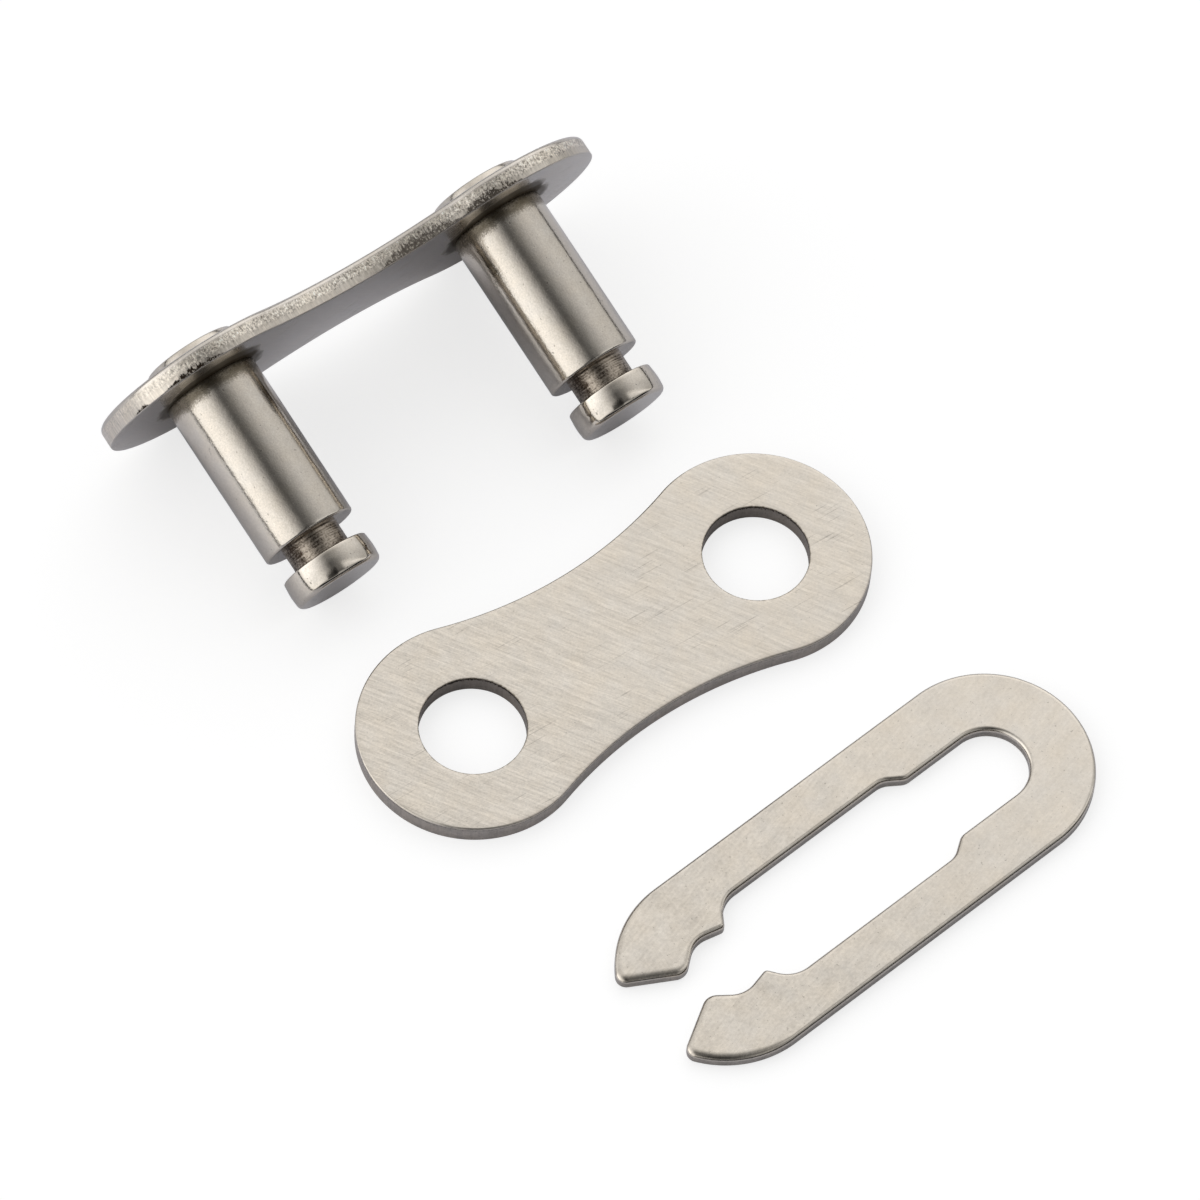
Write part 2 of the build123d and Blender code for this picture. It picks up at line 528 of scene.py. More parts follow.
@dataclass(frozen=True)
class GroundNickel(Nickel):
    """Nickel over a face with the parallel lines of a belt, and scratches that cross them."""

    brightness: float = 0.98
    line_angle: float = 0.0
    line_width: float = 0.07
    line_depth: float = 0.0016
    contrast: float = 0.78
    fading: float = 0.0  # how much fainter the lines are at the piece's right end
    fading_run: Point = (-6.0, 6.0)  # along X, where they start to fade and where that ends
    cloud_shade: float = 0.1
    scratch_angle: float = 90.0
    scratch_shade: float = 0.24
    pit_size: float = 0.1
    pit_shade: float = 0.3
    # Round patches of brown salts; round the pin plate's pins they paint shade and reflection as well.
    stains_and_shade: tuple[StainAndShade, ...] = ()
    stain_grain: float = 0.5
    stain_spread: float = 0.35  # how wide a stain's soft, ragged edge is
    stain_shade: float = 0.92

    def material(self) -> bpy.types.Material:
        """Build the plating with the belt's lines, scratches, pits and round patches: brown salts, and round
        the pins painted shade as well.

        Returns:
            The material.
        """
        graph = MaterialGraph(self.name)
        width, angle = self.line_width, self.line_angle
        broad = graph.lumps((1.5, width * 1.6, 1.0), 1.0, bend=0.2, turn=angle)
        fine = graph.lumps((0.6, width * 0.6, 1.0), 2.0, 0.6, turn=angle + 3.0)
        dust = graph.lumps(width, 2.0, 0.7) - 0.5
        turn, shift = self.scratch_angle, (3.0, 1.0, 0.0)
        cross = graph.lumps((2.2, 0.05, 1.0), 1.0, bend=0.4, turn=turn, shift=shift)
        cloud = graph.lumps(2.6, 3.0, 0.55) - 0.5
        where = graph.lumps(1.4, shift=(7.0, 7.0, 0.0))
        scratches = cross.band(0.62, 0.74) * where.band(0.44, 0.6)
        pits = graph.lumps(self.pit_size, 1.0).band(0.72, 0.79)
        lines = broad * 0.5 + fine * 0.5
        marks = scratches * self.scratch_shade + pits * self.pit_shade
        along, _, _ = graph.axes(graph.place)
        faint = 1.0 - along.band(*self.fading_run) * self.fading
        relief = (lines - 0.5 + dust * 0.55) * faint * self.contrast
        shade = self.brightness + relief + cloud * self.cloud_shade - marks
        rough = self.roughness + cloud * 0.12 + scratches * 0.1
        colour = self.coloured(graph, shade)
        # Brown salts, and round the pins painted shade and reflection where pin meets plate.
        for stain in self.stains_and_shade:
            away = self.away_from(graph, stain)
            share = 1.0 - away.band(stain.radius - self.stain_spread, stain.radius)
            colour = graph.mixed(colour, SALTS_AND_PAINTED_SHADE, share * self.stain_shade)
            rough = rough + share * 0.2
        height = lines * 1.0 - scratches * 0.5 - pits * 0.6
        return graph.metal(colour, rough, graph.raised(height, self.line_depth))

    def away_from(self, graph: MaterialGraph, stain: StainAndShade) -> Value:
        """How far each place is from a stain's middle, with a ragged edge.

        Args:
            graph: The tree.
            stain: The stain.

        Returns:
            The distance in millimetres.
        """
        across, up, _ = graph.axes(graph.place)
        ragged = (graph.lumps(self.stain_grain, 3.0, 0.7) - 0.5) * self.stain_spread * 1.4
        square = (across - stain.x) * (across - stain.x) + (up - stain.y) * (up - stain.y)
        return graph.math("SQRT", square) + ragged


@dataclass(frozen=True)
class ShearedNickel(Nickel):
    """Nickel over a sheared wall: streaks along the punch's way, and dark flecks below its upper edge."""

    streak_width: float = 0.08
    streak_shade: float = 0.45
    cloud_shade: float = 0.7
    grit_shade: float = 0.6
    edge: float = 0.8
    fleck_depth: float = 0.1
    flecks: float = 0.0  # how dark the flecks are
    depth: float = 0.004

    def material(self) -> bpy.types.Material:
        """Build the plating with streaks, grit and flecks.

        Returns:
            The material.
        """
        graph = MaterialGraph(self.name)
        _, _, height = graph.axes(graph.place)
        width = self.streak_width
        streaks = graph.lumps((width, width, 1.2), 3.0, 0.6) - 0.5
        cloud = graph.lumps((0.6, 0.6, 0.3), 3.0, 0.6) - 0.5
        grit = graph.lumps(width, 2.0, 0.6, shift=(2.0, 0.0, 3.0))
        near_edge = height.band(self.edge - self.fleck_depth * 2.5, self.edge)
        flecks = (grit + cloud * 0.4 + near_edge * 0.4).band(0.66, 0.78) * self.flecks
        shade = self.brightness + streaks * self.streak_shade + cloud * self.cloud_shade
        shade = shade + (grit - 0.5) * self.grit_shade
        colour = graph.mixed(self.coloured(graph, shade), FLECK, flecks)
        normal = graph.raised(streaks * 0.7 + grit * 0.5 - flecks, self.depth)
        return graph.metal(colour, self.roughness + cloud * 0.25, normal)


@dataclass(frozen=True)
class Tear:
    """One tear in a rim, dark with bare steel and painted shade: where it starts and ends, how high it reaches
    and how dark it is.
    """

    start: float
    end: float
    height: float
    darkness: float = 1.0


@dataclass(frozen=True)
class TornNickel(Nickel):
    """Nickel over a thick sheared rim: smooth where the punch cut it, gritty where it broke, and torn."""

    brightness: float = 1.08  # of the smooth part
    broken_brightness: float = 1.12
    thickness: float = 0.82
    cut_height: float = 0.26
    smooth_end: Point = (-9.8, -8.0)  # along X, where the smooth end goes over to the broken rim
    grit: float = 0.07
    grit_depth: float = 0.014
    grit_shade: float = 4.0
    salts: float = 0.65
    tears: tuple[Tear, ...] = ()

    def material(self) -> bpy.types.Material:
        """Build the plating with its smooth and broken parts, salts and tears.

        Returns:
            The material.
        """
        graph = MaterialGraph(self.name)
        across, up, depth = graph.axes(graph.place)
        below = self.thickness - depth
        size = self.grit
        cloud = graph.lumps((1.5, 1.5, 0.8), 3.0, 0.6) - 0.5
        grit = graph.lumps((size, size, size * 1.4), 3.0, 0.7) - 0.5
        specks = graph.lumps((0.09, 0.09, 0.08), 2.0, 0.7, shift=(4.0, 1.0, 2.0)).band(0.54, 0.64)
        where = graph.lumps(1.2, 1.0, shift=(9.0, 1.0, 2.0)).band(0.35, 0.65)
        streaks = graph.lumps((0.07, 0.07, 0.9), 2.0, 0.6) - 0.5
        broken = (below - self.cut_height - cloud * 0.35 - grit * 0.3).band(-0.04, 0.04)
        grained = across.band(*self.smooth_end)
        broken = broken * (0.3 + grained * 0.7)
        torn = self.torn(graph, across * graph.math("SIGN", up), below)
        even = self.brightness - grained * 0.13 + streaks * 0.9 + cloud * 0.3
        gritty = self.broken_brightness + grit * self.grit_shade + cloud * 0.5 + streaks * 0.8
        shade = even + (gritty - even) * broken
        salts = specks * broken * where * self.salts
        colour = graph.mixed(self.coloured(graph, shade), RIM_SALTS, salts)
        # The tears: bare steel, with the shade in their crevices painted in.
        colour = graph.mixed(colour, TORN_STEEL_AND_SHADE, torn)
        height = (grit + 0.5) * (0.2 + broken * 0.8) + streaks * 0.3 - salts * 0.5 - torn * 1.5
        rough = self.roughness + torn * 0.3 + cloud * 0.1
        return graph.metal(colour, rough, graph.raised(height, self.grit_depth))

    def torn(self, graph: MaterialGraph, along: Value, below: Value) -> Value:
        """The share of the tears, dark with bare steel and painted shade, that reach up from the inner face
        with jagged tops.

        Args:
            graph: The tree.
            along: How far a point is along the rim's upper side, or back along its lower side.
            below: How far it is from the inner face.

        Returns:
            The share.
        """
        teeth = graph.lumps((0.085, 0.085, 0.5), 2.0, 0.7, turn=8.0, shift=(1.0, 5.0, 0.0))
        gaps = graph.lumps((0.3, 0.3, 0.4), 2.0, 0.6, shift=(3.0, 5.0, 0.0))
        crumbs = graph.lumps((0.07, 0.07, 0.09), 2.0, 0.6, shift=(6.0, 5.0, 0.0))
        jagged = 0.25 + teeth.band(0.3, 0.72) * 0.6 + gaps.band(0.3, 0.7) * 0.35
        share: Term = 0.0
        for tear in self.tears:
            swell = (tear.end - tear.start) * 0.4
            risen = along.band(tear.start, tear.start + swell)
            reach = risen * (1.0 - along.band(tear.end - swell, tear.end)) * tear.height
            lines = 1.0 - teeth.band(0.5, 0.62) * (1.0 - tear.darkness)
            run = (reach * jagged - below).band(-0.03, 0.03) * reach.band(0.01, 0.05) * lines
            share = run * tear.darkness + share
        return share * (1.0 - crumbs.band(0.52, 0.66) * 0.75)


@dataclass(frozen=True)
class TumbledNickel(Nickel):
    """Bright nickel over a tumbled stamping: clouds that fade towards one end, and a few faint lines."""

    brightness: float = 0.92
    cloud_size: float = 1.1
    cloud_shade: float = 0.4
    speckle_shade: float = 0.42
    line_shade: float = 0.24
    pit_shade: float = 0.3
    depth: float = 0.0012
    calm_run: Point = (-12.0, 2.0)  # along X, where the marks start to fade and where that ends
    calming: float = 0.4  # how much fainter they end

    def material(self) -> bpy.types.Material:
        """Build the plating with clouds, speckles, lines and pits.

        Returns:
            The material.
        """
        graph = MaterialGraph(self.name)
        cloud = graph.lumps(self.cloud_size, 4.0, 0.65, bend=0.4) - 0.5
        fine = graph.lumps(0.11, 2.0, 0.6) - 0.5
        lines = graph.lumps((1.6, 0.09, 1.0), 2.0, 0.6, turn=14.0) - 0.5
        pits = graph.lumps(0.09, 1.0, shift=(5.0, 0.0, 0.0)).band(0.7, 0.77)
        along, _, _ = graph.axes(graph.place)
        calm = along.band(*self.calm_run)
        mottle = cloud * self.cloud_shade + fine * self.speckle_shade + lines * self.line_shade
        mottle = mottle * (1.0 - calm * self.calming)
        shade = self.brightness + calm * 0.037 + mottle - pits * self.pit_shade
        normal = graph.raised(fine + lines * 0.4 - pits * 0.4, self.depth)
        return graph.metal(self.coloured(graph, shade), self.roughness + cloud * 0.12, normal)


@dataclass(frozen=True)
class TurnedNickel(Nickel):
    """Bright nickel over a turned and ground pin, dull and brown in its groove, and at its root brown with
    salts and with painted shade and reflection.
    """

    brightness: float = 0.97
    groove: Point = (0.0, 0.0)
    root: float = 0.0
    stain: float = 0.62  # how far the salts and the painted shade reach from the root
    cloud_shade: float = 0.16
    patch_shade: float = 0.12
    grain_size: float = 0.07
    grain_shade: float = 0.42
    pit_shade: float = 0.35
    depth: float = 0.0024

    def material(self) -> bpy.types.Material:
        """Build the plating with clouds, grain and pits, the salts and painted shade at its root, and its dark
        groove.

        Returns:
            The material.
        """
        graph = MaterialGraph(self.name)
        _, _, along = graph.axes(graph.place)
        cloud = graph.lumps((0.8, 0.8, 1.6), 3.0, 0.6) - 0.5
        fine = graph.lumps(self.grain_size, 3.0, 0.65) - 0.5
        pits = graph.lumps((0.12, 0.12, 0.16), 1.0, shift=(2.0, 4.0, 0.0)).band(0.71, 0.78)
        turned = graph.lumps((1.2, 1.2, 0.055), 2.0, 0.65)
        patches = graph.lumps((0.22, 0.22, 0.3), shift=(1.0, 8.0, 0.0)) - 0.5
        start, end = self.groove
        in_groove = along.band(start - 0.02, start + 0.02) * (1.0 - along.band(end - 0.01, end + 0.02))
        # Where the pin meets the plate: brown salts, with painted shade and reflection.
        beyond = along - self.root
        ragged = beyond + cloud * 0.6 + fine * 0.5
        root_salts_and_shade = beyond.band(-0.2, -0.1) * (1.0 - ragged.band(self.stain * 0.5, self.stain * 1.1))
        root_salts_and_shade = root_salts_and_shade * (0.85 + cloud * 0.6 + fine * 0.6)
        on_head = along.band(end, end + 0.05)
        shade = self.brightness + cloud * self.cloud_shade + patches * self.patch_shade
        shade = shade + fine * self.grain_shade - pits * self.pit_shade
        colour = graph.mixed(self.coloured(graph, shade), ROOT_SALTS_AND_PAINTED_SHADE, root_salts_and_shade)
        marks = (turned * 0.6 + 0.2 + cloud * 0.7 + fine * 0.8).band(0.3, 0.72)
        grooved = graph.mixed(GROOVE_DARK, GROOVE_STEEL, marks)
        colour = graph.mixed(colour, grooved, in_groove)
        rough = self.roughness + cloud * 0.08 + in_groove * 0.2 + root_salts_and_shade * 0.2 - on_head * 0.04
        uneven = (fine + patches * 1.6) * (1.0 + root_salts_and_shade - on_head * 0.45)
        height = uneven - pits * 0.8 + turned * in_groove * 3.0
        return graph.metal(colour, rough, graph.raised(height, self.depth))


@dataclass(frozen=True)
class PaleFloor:
    """A white sheet that throws only faint shadows, and that the metal mirrors as a satin mid grey."""

    name: str = "pale_floor"
    albedo: float = 0.4
    glow: float = 0.72
    mirrored: Colour = (0.76, 0.77, 0.84)
    satin: float = 0.28  # roughness of the sheet that the metal mirrors
    clouds_a_metre: float = 40.0

    def material(self) -> bpy.types.Material:
        """Build the sheet that the camera sees and the one that the metal mirrors.

        Returns:
            The material.
        """
        graph = MaterialGraph(self.name)
        place = graph.read(graph.node("ShaderNodeTexCoord"), "Object")
        cloud = graph.noise(graph.scaled(place, self.clouds_a_metre), 2.0) - 0.5
        white = graph.scaled((1.0, 1.0, 1.0), self.albedo + cloud * 0.01)
        shown = graph.sheet(white, 0.9, 0.0, self.glow)
        grey = graph.scaled(self.mirrored, 1.0 + cloud * 0.02)
        mirrored = graph.sheet(grey, self.satin, 0.5, 0.0)
        seen = graph.read(graph.node("ShaderNodeLightPath"), "Is Camera Ray")
        mixed = graph.out("ShaderNodeMixShader", None, {0: seen, 1: mirrored, 2: shown})
        graph.node("ShaderNodeOutputMaterial", None, {"Surface": mixed})
        return graph.material


# --- Outlines and blanks ---


@dataclass(frozen=True)
class Arc:
    """A round run of an outline. A positive sweep goes round to the left."""

    centre: Point
    radius: float
    start: float
    sweep: float

    def walk(self, step: float) -> tuple[np.ndarray, np.ndarray]:
        """Walk along the arc, without its end.

        Args:
            step: How far apart the points may be.

        Returns:
            The points, and the headings there.
        """
        count = max(2, ceil(abs(radians(self.sweep)) * self.radius / step))
        angles = np.radians(self.start + self.sweep * np.arange(count) / count)
        out = np.stack([np.cos(angles), np.sin(angles)], 1)
        heading = np.stack([-out[:, 1], out[:, 0]], 1) * np.sign(self.sweep)
        return np.array(self.centre) + out * self.radius, heading


@dataclass(frozen=True)
class Line:
    """A straight run of an outline."""

    start: Point
    end: Point

    def walk(self, step: float) -> tuple[np.ndarray, np.ndarray]:
        """Walk along the line, without its end.

        Args:
            step: How far apart the points may be.

        Returns:
            The points, and the headings there.
        """
        start, end = np.array(self.start), np.array(self.end)
        length = float(np.linalg.norm(end - start))
        count = max(1, ceil(length / step))
        shares = np.arange(count)[:, None] / count
        return start + (end - start) * shares, np.repeat([(end - start) / length], count, 0)


Run = Union[Arc, Line]


def rounded_runs(corners: Sequence[tuple[Point, float]]) -> list[Run]:
    """The runs of a line through points that each come with a rounding.

    Args:
        corners: Points and the radius that each one is rounded by. The two ends aren't rounded.

    Returns:
        Straight runs, joined smoothly by arcs.
    """
    runs: list[Run] = []
    here = Vector(corners[0][0])
    for (corner, radius), (beyond, _) in zip(corners[1:-1], corners[2:]):
        point = Vector(corner)
        before = (point - here).normalized()
        after = (Vector(beyond) - point).normalized()
        turn = atan2(before.x * after.y - before.y * after.x, before.dot(after))
        side = 1.0 if turn > 0 else -1.0
        back = radius * abs(sin(turn) / (1 + cos(turn)))
        touch = point - before * back
        centre = touch + Vector((-before.y, before.x)) * radius * side
        runs.append(Line(tuple(here), tuple(touch)))
        start = degrees(atan2(touch.y - centre.y, touch.x - centre.x))
        runs.append(Arc(tuple(centre), radius, start, degrees(turn)))
        here = point + after * back
    runs.append(Line(tuple(here), corners[-1][0]))
    return runs


@dataclass
class Outline:
    """A closed line that is walked with the metal on its left."""

    points: np.ndarray
    outward: np.ndarray
    surface: Surface = Surface.RIM
    reach: Union[float, np.ndarray] = 1.0

    @classmethod
    def along(cls, runs: Sequence[Run], step: float, surface: Surface = Surface.RIM) -> "Outline":
        """Walk round a loop of runs.

        Args:
            runs: The runs, with the metal on their left.
            step: How far apart the points may be.
            surface: The kind of surface that the wall there is.

        Returns:
            The outline.
        """
        walked = [run.walk(step) for run in runs]
        heading = np.concatenate([part[1] for part in walked])
        outward = np.stack([heading[:, 1], -heading[:, 0]], 1)
        return cls(np.concatenate([part[0] for part in walked]), outward, surface)

    def inset(self, depth: float) -> np.ndarray:
        """The line's points, moved into the metal by a depth times the reach."""
        return self.points - self.outward * depth * self.reach


@dataclass(frozen=True)
class Row:
    """One row of points round a wall: how far it is inside the outline, and its height."""

    inset: float
    height: float
    streaks: float = 0.0
    tears: float = 0.0


@dataclass
class Blank:
    """A flat piece between two faces, as a mesh of fine rows round its walls."""

    outlines: list[Outline]
    rows: dict[Surface, list[Row]]
    vertices: list[np.ndarray] = field(default_factory=list)
    quads: list[np.ndarray] = field(default_factory=list)
    kinds: list[np.ndarray] = field(default_factory=list)
    numbers: dict[str, list[np.ndarray]] = field(default_factory=lambda: {STREAKS: [], TEARS: []})
    edge_loops: dict[float, list[np.ndarray]] = field(default_factory=lambda: {-1.0: [], 1.0: []})

    def mesh(self, name: str) -> bpy.types.Mesh:
        """Build the walls and close both faces.

        Args:
            name: The mesh's name.

        Returns:
            The mesh.
        """
        for outline in self.outlines:
            self.add_wall(outline)
        mesh = bpy.data.meshes.new(name)
        mesh.from_pydata(np.concatenate(self.vertices), [], np.concatenate(self.quads))
        mesh.attributes.new(WALL, "INT", "FACE").data.foreach_set("value", np.concatenate(self.kinds))
        for title, parts in self.numbers.items():
            values = np.concatenate(parts).astype(np.float32)
            mesh.attributes.new(title, "FLOAT", "POINT").data.foreach_set("value", values)
        self.close_faces(mesh)
        places = np.zeros(len(mesh.vertices) * 3, np.float32)
        mesh.vertices.foreach_get("co", places)
        mesh.attributes.new(OWN_PLACE, "FLOAT_VECTOR", "POINT").data.foreach_set("vector", places)
        return mesh

    def add_wall(self, outline: Outline) -> None:
        """Add the rows of points round an outline, and the faces between them.

        Args:
            outline: The outline.
        """
        rows = self.rows[outline.surface]
        first = sum(len(part) for part in self.vertices)
        count = len(outline.points)
        for row in rows:
            heights = np.full((count, 1), row.height)
            self.vertices.append(np.hstack([outline.inset(row.inset), heights]))
            self.numbers[STREAKS].append(np.full(count, row.streaks))
            self.numbers[TEARS].append(np.full(count, row.tears))
        ring = np.arange(count)
        onward = np.roll(ring, -1)
        for level in range(len(rows) - 1):
            low = first + level * count
            high = low + count
            self.quads.append(np.stack([low + ring, low + onward, high + onward, high + ring], 1))
            walled = rows[level].streaks + rows[level + 1].streaks > 0.0
            kind = outline.surface if walled else Surface.FACE
            self.kinds.append(np.full(count, kind.value, np.int32))
        top = first + (len(rows) - 1) * count
        self.edge_loops[-1.0].append(np.stack([first + ring, first + onward], 1))
        self.edge_loops[1.0].append(np.stack([top + ring, top + onward], 1))

    def close_faces(self, mesh: bpy.types.Mesh) -> None:
        """Fill the lower and the upper face between the outlines.

        Args:
            mesh: The walls' mesh, whose first outline is the outer one.
        """
        work = bmesh.new()
        work.from_mesh(mesh)
        work.verts.ensure_lookup_table()
        for side, loops in self.edge_loops.items():
            owners = {int(a): number for number, loop in enumerate(loops) for a, _ in loop}
            used = list(owners)
            order = {vertex: i for i, vertex in enumerate(used)}
            places = [work.verts[vertex].co.to_2d() for vertex in used]
            edges = [(order[int(a)], order[int(b)]) for loop in loops for a, b in loop]
            _, _, faces, origins, _, _ = delaunay_2d_cdt(places, edges, [], 1, NEARLY)
            for face in faces:
                corners = [used[origins[i][0]] for i in face[:: int(side)]]
                numbers = {owners[corner] for corner in corners}
                if len(numbers) > 1 or 0 in numbers:
                    work.faces.new([work.verts[corner] for corner in corners])
        work.to_mesh(mesh)
        work.free()


@dataclass(frozen=True)
class Shear:
    """How deep and how wide the streaks and the tears on a stamping's walls are."""

    streak_depth: float
    streak_width: float
    tear_depth: float
    tear_width: float
    seed: int

    def apply(
        self,
        tree: ShapeGraph,
        piece: bpy.types.Object,
        face: Nickel,
        rim: Nickel,
        hole: Optional[Nickel] = None,
    ) -> None:
        """Shear a stamping's walls and give it its finishes.

        Args:
            tree: The tree that does it.
            piece: The stamping.
            face: Its faces' finish.
            rim: Its rim's finish.
            hole: Its holes' finish, where they have one of their own.
        """
        edge = rim.material()
        inputs = {
            "Streak Depth": self.streak_depth,
            "Streak Width": self.streak_width,
            "Tear Depth": self.tear_depth,
            "Tear Width": self.tear_width,
            "Seed": self.seed,
            "Face Finish": face.material(),
            "Rim Finish": edge,
            "Hole Finish": hole.material() if hole else edge,
        }
        tree.apply(piece, inputs)


def between(low: float, high: float, count: int) -> list[float]:
    """Heights evenly between two others, without those."""
    return [float(height) for height in np.linspace(low, high, count + 2)[1:-1]]


def rounded_rim(width: float, drop: float, face: float, side: int, count: int) -> list[Row]:
    """Rows of a rounding between a wall and a face.

    Args:
        width: How far it reaches into the face.
        drop: How far it reaches down the wall.
        face: The face's height.
        side: 1 where the face is above the wall, and -1 where it is below.
        count: How many steps it has.

    Returns:
        The rows, from the lowest to the highest.
    """
    angles = [radians(90.0 * i / count) for i in range(count + 1)]
    rows = [Row(width * (1.0 - cos(a)), face - side * drop * (1.0 - sin(a))) for a in angles]
    return rows[::side]


def show(piece: bpy.types.Object, place: Matrix, node: str) -> None:
    """Put a finished piece into the model's frame and let it stand for its node.

    Args:
        piece: The piece, in its own frame and in millimetres.
        place: Its frame's place in the model's frame, in metres.
        node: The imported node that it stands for.
    """
    piece.data.transform(place)
    piece.data.update()
    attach(piece, BODY)
    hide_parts(node)
    faces = sum(len(polygon.vertices) - 2 for polygon in piece.data.polygons)
    LOG.info("%s: %d triangles", piece.name, faces)


def new_piece(mesh: bpy.types.Mesh) -> bpy.types.Object:
    """Put an object for a mesh in the scene, named after it.

    Args:
        mesh: The mesh.

    Returns:
        The object.
    """
    piece = bpy.data.objects.new(mesh.name, mesh)
    bpy.context.scene.collection.objects.link(piece)
    return piece


# --- The chain's sizes ---


@dataclass(frozen=True)
class Chain:
    """Sizes that the link's pieces share."""

    pitch: float = 12.7
    plate_gap: float = 5.86
    lobe_height: float = 8.5
    pin_plate: float = 0.82
    cover_plate: float = 0.8
    pin_radius: float = 1.835
    tenon_radius: float = 1.65
    neck_radius: float = 1.13
    head_radius: float = 1.785
    head_length: float = 1.1
    head_rounding: float = 0.2
    clip: float = 0.6
    groove_clearance: float = 0.35

    @property
    def groove_start(self) -> float:
        """Where the pin's groove starts, from the pin plate's outer face."""
        return self.pin_plate + self.plate_gap + self.cover_plate

    @property
    def groove_end(self) -> float:
        """Where the groove ends."""
        return self.groove_start + self.clip + self.groove_clearance

    @property
    def pin_length(self) -> float:
        """How far the pin reaches from the pin plate's outer face."""
        return self.groove_end + self.head_length


@dataclass(frozen=True)
class PlateShape:
    """A punched figure-eight plate with a hole in each lobe."""

    chain: Chain
    waist: float
    thickness: float
    hole_radius: float
    step: float = 0.04

    def rim(self) -> Outline:
        """Draw the outline: two round lobes and the hollow curves of the waist.

        Returns:
            The outline.
        """
        lobe_x, lobe = self.chain.pitch / 2, self.chain.lobe_height / 2
        half = self.waist / 2
        hollow = (lobe_x**2 + half**2 - lobe**2) / (2 * (lobe - half))
        rise = half + hollow
        lean = degrees(atan2(rise, lobe_x))
        right = Arc((lobe_x, 0.0), lobe, lean - 180.0, 360.0 - 2 * lean)
        left = Arc((-lobe_x, 0.0), lobe, lean, 360.0 - 2 * lean)
        upper = Arc((0.0, rise), hollow, -lean, 2 * lean - 180.0)
        lower = Arc((0.0, -rise), hollow, 180.0 - lean, 2 * lean - 180.0)
        return Outline.along([right, upper, left, lower], self.step)

    def holes(self) -> list[Outline]:
        """Draw the two holes.

        Returns:
            Their outlines.
        """
        sides = (-self.chain.pitch / 2, self.chain.pitch / 2)
        loops = [Arc((x, 0.0), self.hole_radius, 0.0, -360.0) for x in sides]
        return [Outline.along([loop], self.step, Surface.HOLE) for loop in loops]


# --- The pieces ---


@dataclass
class CoverPlate:
    """The loose plate that drops over both pins."""

    chain: Chain
    tree: ShapeGraph
    shear: Shear = Shear(0.006, 0.09, 0.012, 0.1, seed=3)
    waist: float = 6.5
    clearance: float = 0.13
    rolled_edge: float = 0.07
    rolled_hole: float = 0.03
    broken_edge: float = 0.04
    torn_share: float = 0.4  # how much of each wall tore, below what the punch cut
    stained: float = 0.06  # how far the stains reach out from the holes
    guard: float = 0.2  # from each rounded edge to the ring that keeps the face flat
    # The walls' plating is darker than the face's, as painted shade, and the holes' walls darker still.
    rim: ShearedNickel = ShearedNickel("cover_plate_rim", (0.5, 0.452, 0.4), 0.35, flecks=0.5)
    hole: ShearedNickel = ShearedNickel("cover_plate_holes", (0.31, 0.272, 0.234), 0.45, flecks=1.0)

    def rows(self, roll: float) -> list[Row]:
        """A wall's rows from the lower face to the upper one.

        Args:
            roll: How far the punch rolled the upper edge.

        Returns:
            The rows, torn in their lower part and streaked above it.
        """
        height, broken = self.chain.cover_plate, self.broken_edge
        lower = rounded_rim(broken, broken, 0.0, side=-1, count=2)
        upper = rounded_rim(roll, roll, height, side=1, count=6)
        levels = between(broken, height - roll, count=14)
        torn_top = height * self.torn_share
        torn, cut = (0.5, 1.0), (1.0, 0.0)  # shares of the streaks and of the tears
        wall = [Row(0.0, z, *(cut if z > torn_top else torn)) for z in levels]
        outer, inner = Row(broken + self.guard, 0.0), Row(roll + self.guard, height)
        return [outer, *lower, *wall, *upper, inner]

    def build(self) -> None:
        """Build the plate and put it on the floor."""
        radius, half = self.chain.pin_radius + self.clearance, self.chain.pitch / 2
        edge = radius + self.stained
        shape = PlateShape(self.chain, self.waist, self.chain.cover_plate, radius)
        face = GroundNickel(
            "cover_plate_face",
            line_angle=-60.0,
            contrast=0.86,
            fading=0.3,
            scratch_angle=-2.0,
            stains_and_shade=(StainAndShade(-half, 0.0, edge), StainAndShade(half, 0.0, edge)),
            stain_grain=0.12,
            stain_spread=0.08,
        )
        rows = {Surface.RIM: self.rows(self.rolled_edge), Surface.HOLE: self.rows(self.rolled_hole)}
        blank = Blank([shape.rim(), *shape.holes()], rows)
        piece = new_piece(blank.mesh("cover_plate_dressed"))
        self.shear.apply(self.tree, piece, face, self.rim, self.hole)
        show(piece, Matrix.Scale(METRES, 4), "cover_plate")


